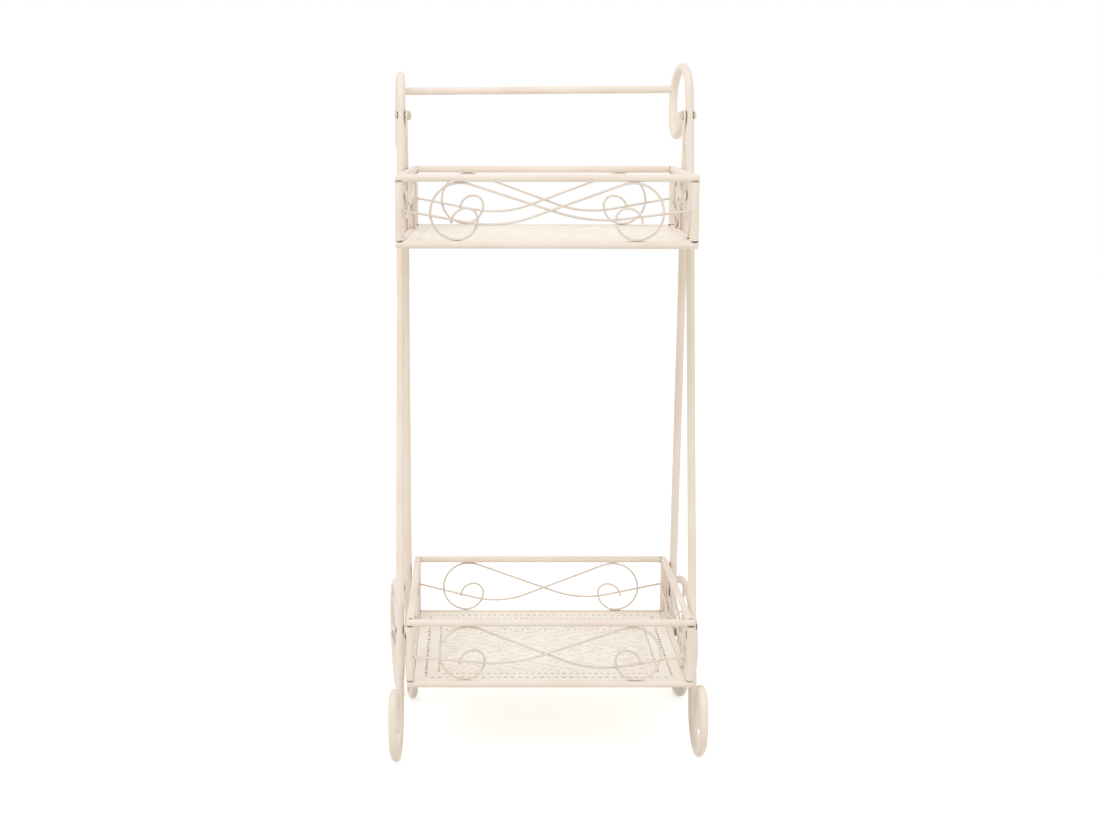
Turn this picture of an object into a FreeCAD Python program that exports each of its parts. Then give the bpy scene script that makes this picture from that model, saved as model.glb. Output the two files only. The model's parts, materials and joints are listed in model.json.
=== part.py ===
"""Flower cart stand: two trays bolted between two A-frames of bent steel tube, on two wheels.

Millimetres. +X is to the right, +Y is to the back and +Z is up, with the ground at Z = 0.
The front legs lean back and the rear legs lean forward, and they meet at the apex bolts.
"""

import FreeCAD, Part
import Sketcher
import math
import os

Vector = FreeCAD.Vector
Rotation = FreeCAD.Rotation
rule = Sketcher.Constraint
Placement = FreeCAD.Placement
X_AXIS = Vector(1, 0, 0)
Y_AXIS = Vector(0, 1, 0)
Z_AXIS = Vector(0, 0, 1)

# Every driving size: name, value in millimetres or degrees, what it is.
SIZES = [
    ("seat_gap", 0.1, "gap where a piece is seated on its neighbour"),
    ("free_gap", 0.3, "gap between curved faces and at turning pieces"),
    # leg tubes
    ("leg_diameter", 11.0, "outside of the bent leg tubes"),
    ("leg_wall", 1.2, "wall of the leg tubes"),
    ("front_leg_clearance", 4.5, "between the trays and the front legs"),
    ("rear_leg_clearance", 1.3, "between the trays and the rear legs"),
    ("apex_height", 793.0, "apex bolts above the ground"),
    ("apex_inset", 63.5, "apex bolts from the back of the upper tray"),
    ("left_front_leg_inset", 80.0, "where the left front leg passes the lower tray, from its front"),
    ("right_front_leg_inset", 95.0, "where the right front leg passes the lower tray, from its front"),
    ("left_rear_leg_inset", 37.1, "where the left rear leg passes the lower tray, from its back"),
    ("right_rear_leg_inset", 29.0, "where the right rear leg passes the lower tray, from its back"),
    ("rear_foot_lift", 1.0, "rear scroll feet above the ground"),
    # scrolls bent at the ends of the legs
    ("scroll_radius", 45.0, "centre-line radius of the big bend"),
    ("scroll_return_radius", 22.0, "centre-line radius of the small bend"),
    ("loop_drop", 18.0, "straight length between the two bends of a loop"),
    ("loop_end", 4.0, "straight length at the cut end of a loop"),
    ("foot_drop", 13.5, "straight length between the two bends of a foot"),
    ("foot_end", 30.0, "straight length at the cut end of a foot, down inside its big bend"),
    ("left_loop_rise", 56.8, "top of the left loop above the apex bolts"),
    ("right_loop_rise", 68.2, "top of the right loop above the apex bolts"),
    ("left_loop_angle", 4.2, "left loop turned about its leg"),
    ("right_loop_angle", 7.2, "right loop turned about its leg"),
    ("left_foot_angle", 3.2, "left front foot turned outwards about its leg"),
    ("right_foot_angle", 1.9, "right front foot turned outwards about its leg"),
    ("rear_angle", 6.5, "rear feet and wheels turned about their legs"),
    ("plug_length", 6.0, "plugs pressed into the cut tube ends"),
    # rear leg tongue
    ("tongue_thickness", 2.4, "flattened top of the rear legs"),
    ("tongue_width", 14.0, "flattened top of the rear legs"),
    ("tongue_length", 38.0, "flat length below the apex bolt"),
    ("flare_length", 12.0, "length over which the tube becomes flat"),
    # handle
    ("handle_diameter", 10.0, "handle bar"),
    ("left_handle_rise", 31.6, "left end of the handle bar above the apex bolts"),
    ("right_handle_rise", 34.3, "right end of the handle bar above the apex bolts"),
    # apex fasteners
    ("apex_bolt_diameter", 6.0, "apex bolts"),
    ("apex_head_diameter", 11.0, "domed heads of the apex bolts"),
    ("apex_head_height", 3.4, "domed heads of the apex bolts"),
    ("nut_corner_radius", 5.6, "corner radius of the apex and axle nuts"),
    ("nut_height", 3.0, "thin nuts at the apex and on the axles"),
    ("bolt_hole_gap", 0.2, "hole radius beyond bolt radius"),
    ("thread_gap", 0.02, "nut thread radius beyond bolt radius"),
    ("bolt_tip", 0.5, "bolt length past its nut"),
    ("washer_diameter", 12.5, "washers at the apex and on the axles"),
    ("washer_thickness", 1.0, "washers at the apex and on the axles"),
    # trays
    ("rail_diameter", 9.0, "rails and corner posts"),
    ("rail_end_round", 2.5, "rounding of the rail ends that show at the corners"),
    ("tray_width", 354.0, "outside, left to right"),
    ("tray_depth", 321.0, "outside, front to back"),
    ("rail_spacing", 77.8, "between bottom and top rail centres"),
    ("lower_tray_height", 100.0, "bottom rail centres above the ground"),
    ("upper_tray_drop", 149.0, "bottom rail centres below the apex bolts"),
    ("lower_tray_y", -8.0, "middle of the lower tray"),
    ("upper_tray_y", -40.0, "middle of the upper tray"),
    ("lower_tray_shift", 1.0, "lower tray sideways between the legs"),
    ("upper_tray_shift", -1.0, "upper tray sideways between the legs"),
    ("upper_tray_angle", -1.5, "upper tray turned about its rear bolts"),
    # punched floor
    ("floor_thickness", 0.8, "sheet of the tray floors"),
    ("floor_rise", 2.0, "sheet above the bottom rail centres"),
    ("punch_diameter", 4.0, "holes of the punched border"),
    ("punch_pitch", 8.0, "along the border"),
    ("punch_margin", 7.0, "first row from the sheet's edge"),
    ("punch_row_gap", 8.0, "between the two rows"),
    # scroll wires
    ("wire_diameter", 2.8, "scroll wires in the tray faces"),
    ("front_curl_inset", 66.4, "top of a curl from the corner post, front and back faces"),
    ("side_curl_inset", 59.4, "top of a curl from the corner post, side faces"),
    ("curl_lower_radius", 31.5, "lower outer quarter of a curl"),
    ("curl_inner_radius", 24.0, "lower inner quarter of a curl"),
    ("curl_eye_radius", 13.0, "upper inner quarter of a curl"),
    ("curl_tail_radius", 18.0, "last quarter of a curl"),
    ("curl_crown_radius", 45.0, "bend from the long sweep into the curl"),
    ("upper_front_start", 1.0, "wire ends on the posts above mid height, upper front face"),
    ("upper_front_left_dip", 16.0, "wire from the left post dips below its start"),
    ("upper_front_right_dip", 11.0, "wire from the right post dips below its start"),
    ("upper_back_start", 0.0, "same as above, upper back face"),
    ("upper_back_left_dip", 17.0, "same as above, upper back face"),
    ("upper_back_right_dip", 16.0, "same as above, upper back face"),
    ("lower_front_start", -4.2, "same as above, lower front face"),
    ("lower_front_left_dip", 7.7, "same as above, lower front face"),
    ("lower_front_right_dip", 14.5, "same as above, lower front face"),
    ("lower_back_start", 3.3, "same as above, lower back face"),
    ("lower_back_left_dip", 22.5, "same as above, lower back face"),
    ("lower_back_right_dip", 18.5, "same as above, lower back face"),
    ("side_start", 0.0, "same as above, side faces"),
    ("side_dip", 13.0, "same as above, side faces"),
    # tray mountings
    ("mounting_rise", 46.5, "bolts through the legs above the bottom rail centres"),
    ("flat_width", 14.0, "upright flats between the side rails"),
    ("flat_thickness", 2.0, "upright flats between the side rails"),
    ("flat_offset", 2.6, "middle of the flats outside the side rail centres"),
    ("lug_diameter", 13.0, "threaded lugs between flats and legs"),
    ("tray_bolt_diameter", 5.0, "bolts through the legs into the lugs"),
    ("tray_head_diameter", 9.0, "domed heads of the tray bolts"),
    ("tray_head_height", 2.6, "domed heads of the tray bolts"),
    # wheels
    ("wheel_diameter", 156.4, "over the rim"),
    ("rim_diameter", 10.0, "rim section"),
    ("hub_width", 12.0, "over the hub flanges"),
    ("hub_flange_diameter", 26.0, "hub flanges"),
    ("hub_flange_width", 2.4, "hub flanges"),
    ("hub_waist_diameter", 18.0, "hub between its flanges"),
    ("spoke_diameter", 4.0, "wheel spokes"),
    ("spoke_count", 6, "spokes of one wheel"),
    ("axle_bolt_diameter", 6.0, "axle bolts"),
    ("axle_running_gap", 0.06, "hub bore radius beyond axle radius"),
    ("axle_head_diameter", 11.0, "domed heads of the axle bolts"),
    ("axle_head_height", 3.0, "domed heads of the axle bolts"),
    ("axle_spacer_diameter", 12.0, "spacers between rear legs and hubs"),
    ("axle_spacer_length", 3.0, "spacers between rear legs and hubs"),
]

SIDES = {"left": -1, "right": 1}
LEVELS = ("upper", "lower")
LEAD_SHARE = 0.33    # part of a scroll wire's run before its dip
CLIMB_SHARE = 0.50   # part of a scroll wire's run that climbs to the curl

doc = FreeCAD.newDocument("flower_cart_stand")
sheet = doc.addObject("Spreadsheet::Sheet", "sizes")
for row, (alias, number, meaning) in enumerate(SIZES, 1):
    sheet.set(f"A{row}", alias)
    sheet.set(f"B{row}", str(number))
    sheet.set(f"C{row}", meaning)
    sheet.setAlias(f"B{row}", alias)
doc.recompute()

nodes = []


def size(alias):
    """The number that the sheet holds under this name."""
    return float(sheet.get(alias))


def value(expression):
    """The number that an expression on the sheet's names comes to."""
    return float(sheet.evalExpression(expression))


def keep(thing, label):
    """Name a finished sub-part."""
    thing.Label = label
    nodes.append(thing)
    return thing


# ---------------------------------------------------------------- shared builders


def bind(thing, **expressions):
    for name, expression in expressions.items():
        thing.setExpression(name, expression)
    return thing


def cylinder(name, diameter, length, place):
    """A bar along its own Z, starting at the placement."""
    bar = doc.addObject("Part::Cylinder", name)
    bind(bar, Radius=f"({diameter}) / 2", Height=length)
    bar.Placement = place
    return bar


def compound(name, members):
    group = doc.addObject("Part::Compound", name)
    group.Links = members
    return group


def cut(name, base, tool):
    result = doc.addObject("Part::Cut", name)
    result.Base = base
    result.Tool = tool
    return result


def fuse(name, members):
    result = doc.addObject("Part::MultiFuse", name)
    result.Shapes = members
    return result


def along(direction, start):
    """Placement whose Z runs along a direction from a point."""
    return Placement(start, Rotation(Z_AXIS, direction))


def ring(name, outer, inner, length, place):
    """A washer, spacer or bush along its own Z."""
    body = cylinder(name + "_body", outer, length, place)
    bore = cylinder(name + "_bore", inner, length, place)
    return cut(name, body, bore)


def nut(name, kind, place):
    """A hexagon nut along its own Z, for the apex or the axle bolts."""
    block = doc.addObject("Part::Prism", name + "_block")
    block.Polygon = 6
    bind(block, Circumradius="sizes.nut_corner_radius", Height="sizes.nut_height")
    block.Placement = place
    thread = f"sizes.{kind}_bolt_diameter + 2 * sizes.thread_gap"
    bore = cylinder(name + "_bore", thread, "sizes.nut_height", place)
    return cut(name, block, bore)


def bolt(name, kind, length, place):
    """A bolt whose shank runs along -Z from the underside of its domed head."""
    turned = place * Placement(Vector(), Rotation(X_AXIS, 180))
    shank = cylinder(name + "_shank", f"sizes.{kind}_bolt_diameter", f"{length}", turned)
    rise = size(f"{kind}_head_height")
    ball = (size(f"{kind}_head_diameter") ** 2 / 4 + rise ** 2) / (2 * rise)
    dome = doc.addObject("Part::Sphere", name + "_head")
    dome.Radius = ball
    dome.Angle1 = math.degrees(math.asin(1 - rise / ball))
    dome.Angle2 = 90
    dome.Placement = place * Placement(Vector(0, 0, rise - ball), Rotation())
    return fuse(name, [shank, dome])


def origin_plane(body, role):
    for feature in body.Origin.OriginFeatures:
        if feature.Role == role:
            return feature
    raise ValueError(role)


def sketch_on(body, role, name, offset=Placement()):
    """A sketch on one of the body's own origin planes."""
    sketch = body.newObject("Sketcher::SketchObject", name)
    sketch.AttachmentSupport = [(origin_plane(body, role), "")]
    sketch.MapMode = "FlatFace"
    sketch.AttachmentOffset = offset
    return sketch


def named(sketch, name, expression, *constraint):
    """Add a constraint that takes its value from the sheet."""
    index = sketch.addConstraint(rule(*constraint))
    sketch.renameConstraint(index, name)
    sketch.setExpression("Constraints." + name, expression)


def circle_sketch(body, name, radii, height):
    """Circles round the body's own Z axis at a height, each radius an expression."""
    sketch = sketch_on(body, "XY_Plane", name, Placement(Vector(0, 0, height), Rotation()))
    for count, radius in enumerate(radii):
        sketch.addGeometry(Part.Circle(Vector(), Z_AXIS, 1.0 + count), False)
        sketch.addConstraint(rule("Coincident", count, 3, -1, 1))
        named(sketch, f"radius_{count}", radius, "Radius", count, 1.0 + count)
    return sketch


# ---------------------------------------------------------------- legs

TUBE = ["sizes.leg_diameter / 2", "sizes.leg_diameter / 2 - sizes.leg_wall"]


def tray_height(level):
    """Bottom rail centres above the ground."""
    if level == "upper":
        return size("apex_height") - size("upper_tray_drop")
    return size("lower_tray_height")


def mounting_height(level):
    """Bolts that hold a tray to the legs, above the ground."""
    return tray_height(level) + size("mounting_rise")


def apex_y():
    return size("upper_tray_y") + size("tray_depth") / 2 - size("apex_inset")


def leg_x(kind, side):
    """X of a leg's centre line."""
    return SIDES[side] * (size("tray_width") / 2 + size(f"{kind}_leg_clearance") + size("leg_diameter") / 2)


def leg_slope(kind, side):
    """How far a leg leans to the back for each millimetre that it rises."""
    way = -1 if kind == "front" else 1
    beside_tray = size("lower_tray_y") + way * (size("tray_depth") / 2 - size(f"{side}_{kind}_leg_inset"))
    return (apex_y() - beside_tray) / (size("apex_height") - mounting_height("lower"))


def leg_y(kind, side, height):
    """Y of a leg's centre line at a height."""
    return apex_y() - leg_slope(kind, side) * (size("apex_height") - height)


def lean(kind, side):
    """Angle of a leg from the vertical, positive where its top leans to the back."""
    return math.degrees(math.atan(leg_slope(kind, side)))


def leg_frame(kind, side):
    """Placement with Z up the leg, from where the leg's centre line meets the ground."""
    return Placement(Vector(leg_x(kind, side), leg_y(kind, side, 0), 0), Rotation(X_AXIS, -lean(kind, side)))


def up_leg(kind, side, height):
    """Distance along the leg to a height above the ground."""
    return height / math.cos(math.radians(lean(kind, side)))


def foot_bend_start(kind, side):
    """Where the foot's big bend begins, so that its lowest point meets the ground."""
    angle = math.radians(lean(kind, side))
    lift = size("rear_foot_lift") if kind == "rear" else 0.0
    radius = size("scroll_radius")
    rise = radius + size("leg_diameter") / 2 + lift - radius * math.sin(angle)
    return rise / math.cos(angle)


def loop_middle_height(side):
    """Middle of the loop's big bend above the ground."""
    top = size("apex_height") + size(f"{side}_loop_rise")
    return top - size("leg_diameter") / 2 - size("scroll_radius")


def loop_bend_start(side):
    """Where the loop's big bend begins, so that its highest point meets the set height."""
    angle = math.radians(lean("front", side))
    radius = size("scroll_radius")
    rise = loop_middle_height(side) + radius * math.sin(angle)
    return rise / math.cos(angle)


def scroll_path(body, name, start, turn, upward):
    """Path of a scroll: half circle, short straight, small half circle back, short straight.

    It lies in the plane of the leg, turned about the leg's centre line. A loop goes over to
    the back and down, and a foot goes under to the front and up.
    """
    sketch = sketch_on(body, "YZ_Plane", name, Placement(Vector(), Rotation(Y_AXIS, turn)))
    radius = size("scroll_radius")
    small = size("scroll_return_radius")
    kind = "loop" if upward else "foot"
    drop = size(f"{kind}_drop")
    end = size(f"{kind}_end")
    way = 1 if upward else -1
    far = way * 2 * radius
    near = far - way * 2 * small
    half = math.pi if upward else 2 * math.pi
    big_arc = Part.Circle(Vector(way * radius, start, 0), Z_AXIS, radius)
    sketch.addGeometry(Part.ArcOfCircle(big_arc, half - math.pi, half), False)
    turn_at = start - way * drop
    sketch.addGeometry(Part.LineSegment(Vector(far, start, 0), Vector(far, turn_at, 0)), False)
    small_arc = Part.Circle(Vector(far - way * small, turn_at, 0), Z_AXIS, small)
    sketch.addGeometry(Part.ArcOfCircle(small_arc, 2 * math.pi - half, 3 * math.pi - half), False)
    tip = turn_at + way * end
    sketch.addGeometry(Part.LineSegment(Vector(near, turn_at, 0), Vector(near, tip, 0)), False)
    # which end of each arc lies on the leg, at the far side and at the free end
    on_leg, far_side = 2, 1
    low_side, free_side = 2, 1
    sketch.addConstraint(rule("Tangent", 0, far_side, 1, 1))
    sketch.addConstraint(rule("Tangent", 1, 2, 2, low_side))
    sketch.addConstraint(rule("Tangent", 2, free_side, 3, 1))
    sketch.addConstraint(rule("Vertical", 1))
    sketch.addConstraint(rule("Vertical", 3))
    sketch.addConstraint(rule("PointOnObject", 0, on_leg, -2))
    sketch.addConstraint(rule("Horizontal", 0, 3, 0, on_leg))
    sketch.addConstraint(rule("DistanceY", -1, 1, 0, on_leg, start))
    named(sketch, "big_radius", "sizes.scroll_radius", "Radius", 0, radius)
    named(sketch, "small_radius", "sizes.scroll_return_radius", "Radius", 2, small)
    named(sketch, "drop", f"sizes.{kind}_drop", "Distance", 1, 1, 1, 2, drop)
    named(sketch, "cut_end", f"sizes.{kind}_end", "Distance", 3, 1, 3, 2, end)
    return sketch


def scroll(body, name, start, turn, upward):
    """Bend a scroll onto the straight tube at a distance along the leg."""
    section = circle_sketch(body, name + "_section", TUBE, start)
    path = scroll_path(body, name + "_path", start, turn, upward)
    doc.recompute()
    pipe = body.newObject("PartDesign::AdditivePipe", name)
    pipe.Profile = section
    pipe.Spine = (path, ["Edge1", "Edge2", "Edge3", "Edge4"])
    return pipe


def scroll_tip(kind, side, start, turn, upward):
    """Placement at a scroll's cut end, with Z pointing out of the tube."""
    way = 1 if upward else -1
    across = way * 2 * (size("scroll_radius") - size("scroll_return_radius"))
    end = "loop" if upward else "foot"
    height = start - way * (size(f"{end}_drop") - size(f"{end}_end"))
    spin = Placement(Vector(), Rotation(Z_AXIS, turn))
    facing = Rotation() if upward else Rotation(X_AXIS, 180)
    return leg_frame(kind, side) * spin * Placement(Vector(0, across, height), facing)


def straight_tube(body, name, start, end):
    section = circle_sketch(body, name + "_section", TUBE, start)
    pad = body.newObject("PartDesign::Pad", name)
    pad.Profile = section
    pad.Length = end - start
    return pad


def cross_holes(body, name, places, radius, turn=0.0):
    """Drill holes through the leg across its centre line at distances along it."""
    sketch = sketch_on(body, "YZ_Plane", name + "_centres", Placement(Vector(), Rotation(Y_AXIS, turn)))
    for count, place in enumerate(places):
        sketch.addGeometry(Part.Circle(Vector(0, place, 0), Z_AXIS, 2.0), False)
        sketch.addConstraint(rule("PointOnObject", count, 3, -2))
        sketch.addConstraint(rule("DistanceY", -1, 1, count, 3, place))
        named(sketch, f"hole_{count}", radius[count], "Radius", count, 2.0)
    doc.recompute()
    before = body.Shape.Volume
    pocket = body.newObject("PartDesign::Pocket", name)
    pocket.Profile = sketch
    pocket.Type = 0
    pocket.Midplane = True
    bind(pocket, Length="4 * sizes.leg_diameter")
    doc.recompute()
    if body.Shape.Volume > before - 1.0:
        raise RuntimeError(name + " cut nothing")
    return pocket


TRAY_HOLE = "sizes.tray_bolt_diameter / 2 + sizes.bolt_hole_gap"
APEX_HOLE = "sizes.apex_bolt_diameter / 2 + sizes.bolt_hole_gap"
AXLE_HOLE = "sizes.axle_bolt_diameter / 2 + sizes.bolt_hole_gap"


def loop_turn(side):
    """Both loops are turned the same way round, seen from above."""
    return size(f"{side}_loop_angle")


def front_foot_turn(side):
    """The front feet turn outwards, each to its own side."""
    return SIDES[side] * size(f"{side}_foot_angle")


def front_leg(side):
    """One tube from the scroll foot up to the loop, drilled for the apex and both trays."""
    body = doc.addObject("PartDesign::Body", f"{side}_front_leg_body")
    low = foot_bend_start("front", side)
    high = loop_bend_start(side)
    straight_tube(body, f"{side}_front_straight", low, high)
    scroll(body, f"{side}_front_foot", low, front_foot_turn(side), False)
    scroll(body, f"{side}_front_loop", high, loop_turn(side), True)
    heights = [size("apex_height"), mounting_height("upper"), mounting_height("lower")]
    places = [up_leg("front", side, height) for height in heights]
    cross_holes(body, f"{side}_front_holes", places, [APEX_HOLE, TRAY_HOLE, TRAY_HOLE])
    body.Placement = leg_frame("front", side)
    return keep(body, f"{side}_front_leg")


def tongue_x(side):
    """Middle of the rear leg's tongue, just inside the front leg, from the rear leg's centre line."""
    outside = leg_x("front", "right") - size("leg_diameter") / 2 - size("free_gap")
    return SIDES[side] * (outside - size("tongue_thickness") / 2 - leg_x("rear", "right"))


def tongue_base(side):
    """Distance along the rear leg to where its tongue begins."""
    return up_leg("rear", side, size("apex_height")) - size("tongue_length")


def flare(body, side):
    """Round tube end pressed flat: a loft from the tube's circle to the tongue's rectangle."""
    base = tongue_base(side)
    disc = circle_sketch(body, f"{side}_flare_round", TUBE[:1], base - size("flare_length"))
    middle = Placement(Vector(tongue_x(side), 0, base), Rotation())
    flat = sketch_on(body, "XY_Plane", f"{side}_flare_flat", middle)
    x = size("tongue_thickness") / 2
    y = size("tongue_width") / 2
    corners = [Vector(x, -y, 0), Vector(x, y, 0), Vector(-x, y, 0), Vector(-x, -y, 0)]
    for count in range(4):
        flat.addGeometry(Part.LineSegment(corners[count], corners[(count + 1) % 4]), False)
    for count in range(4):
        flat.addConstraint(rule("Coincident", count, 2, (count + 1) % 4, 1))
    flat.addConstraint(rule("Vertical", 0))
    flat.addConstraint(rule("Horizontal", 1))
    flat.addConstraint(rule("Vertical", 2))
    flat.addConstraint(rule("Horizontal", 3))
    flat.addConstraint(rule("Symmetric", 0, 1, 2, 1, -1, 1))
    named(flat, "width", "sizes.tongue_width", "DistanceY", 0, 1, 0, 2, 2 * y)
    named(flat, "thickness", "sizes.tongue_thickness", "DistanceX", 1, 2, 1, 1, 2 * x)
    doc.recompute()
    loft = body.newObject("PartDesign::AdditiveLoft", f"{side}_flare")
    loft.Profile = disc
    loft.Sections = [flat]
    return loft


def tongue(body, side):
    """Flat tongue with a round end and the apex hole."""
    base = tongue_base(side)
    apex = up_leg("rear", side, size("apex_height"))
    half = size("tongue_width") / 2
    middle = Placement(Vector(0, 0, tongue_x(side)), Rotation())
    sketch = sketch_on(body, "YZ_Plane", f"{side}_tongue_outline", middle)
    sketch.addGeometry(Part.LineSegment(Vector(-half, base, 0), Vector(half, base, 0)), False)
    sketch.addGeometry(Part.LineSegment(Vector(half, base, 0), Vector(half, apex, 0)), False)
    sketch.addGeometry(Part.ArcOfCircle(Part.Circle(Vector(0, apex, 0), Z_AXIS, half), 0, math.pi), False)
    sketch.addGeometry(Part.LineSegment(Vector(-half, apex, 0), Vector(-half, base, 0)), False)
    sketch.addGeometry(Part.Circle(Vector(0, apex, 0), Z_AXIS, 3.0), False)
    sketch.addConstraint(rule("Coincident", 0, 2, 1, 1))
    sketch.addConstraint(rule("Tangent", 1, 2, 2, 1))
    sketch.addConstraint(rule("Tangent", 2, 2, 3, 1))
    sketch.addConstraint(rule("Coincident", 3, 2, 0, 1))
    sketch.addConstraint(rule("Horizontal", 0))
    sketch.addConstraint(rule("Vertical", 1))
    sketch.addConstraint(rule("Coincident", 4, 3, 2, 3))
    sketch.addConstraint(rule("PointOnObject", 2, 3, -2))
    sketch.addConstraint(rule("DistanceY", -1, 1, 2, 3, apex))
    named(sketch, "end_radius", "sizes.tongue_width / 2", "Radius", 2, half)
    named(sketch, "flat_length", "sizes.tongue_length", "DistanceY", 1, 1, 1, 2, apex - base)
    named(sketch, "hole", APEX_HOLE, "Radius", 4, 3.0)
    doc.recompute()
    pad = body.newObject("PartDesign::Pad", f"{side}_tongue")
    pad.Profile = sketch
    pad.Midplane = True
    bind(pad, Length="sizes.tongue_thickness")
    return pad


def rear_spin(side):
    """Turn about the rear leg that points X along the axle, outwards."""
    return Placement(Vector(), Rotation(Z_AXIS, size("rear_angle") + (180 if side == "left" else 0)))


def axle_place(side):
    """Distance up the rear leg to the axle, so that the middle of the wheel is half a wheel high."""
    axis = (leg_frame("rear", side) * rear_spin(side)).Rotation.multVec(X_AXIS)
    return up_leg("rear", side, size("wheel_diameter") / 2 - axis.z * wheel_middle())


def rear_leg(side):
    """One tube from the scroll foot up to the flattened tongue, drilled for axle and trays."""
    body = doc.addObject("PartDesign::Body", f"{side}_rear_leg_body")
    low = foot_bend_start("rear", side)
    high = tongue_base(side) - size("flare_length")
    straight_tube(body, f"{side}_rear_straight", low, high)
    scroll(body, f"{side}_rear_foot", low, size("rear_angle"), False)
    flare(body, side)
    tongue(body, side)
    trays = [up_leg("rear", side, mounting_height(level)) for level in LEVELS]
    cross_holes(body, f"{side}_rear_tray_holes", trays, [TRAY_HOLE, TRAY_HOLE])
    cross_holes(body, f"{side}_rear_axle_hole", [axle_place(side)], [AXLE_HOLE], size("rear_angle"))
    body.Placement = leg_frame("rear", side)
    return keep(body, f"{side}_rear_leg")


def tube_plugs():
    """A plug inside each cut tube end of the scrolls."""
    bore = "sizes.leg_diameter - 2 * sizes.leg_wall - sizes.seat_gap / 2"
    plugs = []
    for side in SIDES:
        front_start = foot_bend_start("front", side)
        rear_start = foot_bend_start("rear", side)
        tips = {
            "loop": scroll_tip("front", side, loop_bend_start(side), loop_turn(side), True),
            "front_foot": scroll_tip("front", side, front_start, front_foot_turn(side), False),
            "rear_foot": scroll_tip("rear", side, rear_start, size("rear_angle"), False),
        }
        for end, tip in tips.items():
            inside = tip * Placement(Vector(0, 0, -size("plug_length")), Rotation())
            plugs.append(cylinder(f"{side}_{end}_plug", bore, "sizes.plug_length", inside))
    return keep(compound("tube_plug_set", plugs), "tube_plugs")


# ---------------------------------------------------------------- handle and apex


def handle_point(side):
    """Where the handle bar's axis meets the loop's centre line, at the back of the loop."""
    angle = math.radians(lean("front", side))
    radius = size("scroll_radius")
    height = size("apex_height") + size(f"{side}_handle_rise")
    spread = math.asin((height - loop_middle_height(side)) / radius) + angle
    across = radius + radius * math.cos(spread)
    along_leg = loop_bend_start(side) + radius * math.sin(spread)
    spin = Placement(Vector(), Rotation(Z_AXIS, loop_turn(side)))
    return (leg_frame("front", side) * spin).multVec(Vector(0, across, along_leg))


def loop_ring(side):
    """The loop's big bend as a whole ring, a seat gap fatter, which copes the bar's end."""
    ring_tool = doc.addObject("Part::Torus", f"{side}_cope")
    bind(ring_tool, Radius1="sizes.scroll_radius", Radius2="sizes.leg_diameter / 2 + sizes.seat_gap / 2")
    spin = Placement(Vector(), Rotation(Z_AXIS, loop_turn(side)))
    centre = Vector(0, size("scroll_radius"), loop_bend_start(side))
    flat = Rotation(Y_AXIS, 90)
    ring_tool.Placement = leg_frame("front", side) * spin * Placement(centre, flat)
    return ring_tool


def handle_bar():
    """Round bar between the two loops, coped to the loop tubes."""
    left = handle_point("left")
    right = handle_point("right")
    span = right - left
    bar = cylinder("handle_stock", "sizes.handle_diameter", f"{span.Length}", along(span, left))
    copes = compound("handle_copes", [loop_ring("left"), loop_ring("right")])
    return keep(cut("handle", bar, copes), "handle_bar")


def outward(side):
    return Vector(SIDES[side], 0, 0)


def apex_point(side, x):
    return Vector(SIDES[side] * x, apex_y(), size("apex_height"))


def apex_fasteners():
    """Bolt from outside through front leg and tongue, with a washer and nut inside."""
    gap = size("seat_gap")
    leg_in = leg_x("front", "right") - size("leg_diameter") / 2
    head_under = leg_in + size("leg_diameter") + gap
    washer_out = leg_in - size("free_gap") - size("tongue_thickness") - gap
    nut_out = washer_out - size("washer_thickness") - gap
    reach = head_under - nut_out + size("nut_height") + size("bolt_tip")
    clear = "sizes.apex_bolt_diameter + 2 * sizes.bolt_hole_gap"
    bolts = []
    washers = []
    nuts = []
    for side in SIDES:
        head = along(outward(side), apex_point(side, head_under))
        washer = along(outward(side) * -1, apex_point(side, washer_out))
        seat = along(outward(side) * -1, apex_point(side, nut_out))
        bolts.append(bolt(f"{side}_apex_bolt", "apex", reach, head))
        washers.append(ring(f"{side}_apex_washer", "sizes.washer_diameter", clear,
                            "sizes.washer_thickness", washer))
        nuts.append(nut(f"{side}_apex_nut", "apex", seat))
    keep(compound("apex_bolt_pair", bolts), "apex_bolts")
    keep(compound("apex_washer_pair", washers), "apex_washers")
    keep(compound("apex_nut_pair", nuts), "apex_nuts")


# ---------------------------------------------------------------- trays


def rail_x():
    """Side rail centres from the middle of a tray."""
    return (size("tray_width") - size("rail_diameter")) / 2


def rail_y():
    """Front and back rail centres from the middle of a tray."""
    return (size("tray_depth") - size("rail_diameter")) / 2


def tray_angle(level):
    return size("upper_tray_angle") if level == "upper" else 0.0


def tray_frame(level):
    """Placement of a tray: origin at its middle, at the height of its bottom rails.

    The upper tray is turned a little about the line of its rear bolts.
    """
    bolts = mounting_height(level)
    pivot_y = (leg_y("rear", "left", bolts) + leg_y("rear", "right", bolts)) / 2
    pivot = Vector(size(f"{level}_tray_shift"), pivot_y, tray_height(level))
    spin = Placement(pivot, Rotation(Z_AXIS, tray_angle(level)))
    return spin * Placement(Vector(0, size(f"{level}_tray_y") - pivot_y, 0), Rotation())


def tray_bar(level, name, length, axis, middle):
    """A rail or post of a tray, centred on a point of the tray."""
    place = tray_frame(level) * along(axis, middle - axis * (value(length) / 2))
    return cylinder(f"{level}_{name}_bar", "sizes.rail_diameter", length, place)


def rounded(name, bar, ends):
    """Round the rim of a bar at its start, its end or both."""
    doc.recompute()
    radius = size("rail_end_round")
    edges = []
    for number, edge in enumerate(bar.Shape.Edges, 1):
        if not isinstance(edge.Curve, Part.Circle):
            continue
        along_bar = bar.Placement.inverse().multVec(edge.CenterOfMass).z
        end = "start" if along_bar < bar.Height.Value / 2 else "end"
        if end in ends:
            edges.append((number, radius, radius))
    fillet = doc.addObject("Part::Fillet", name)
    fillet.Base = bar
    fillet.Edges = edges
    return fillet


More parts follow.
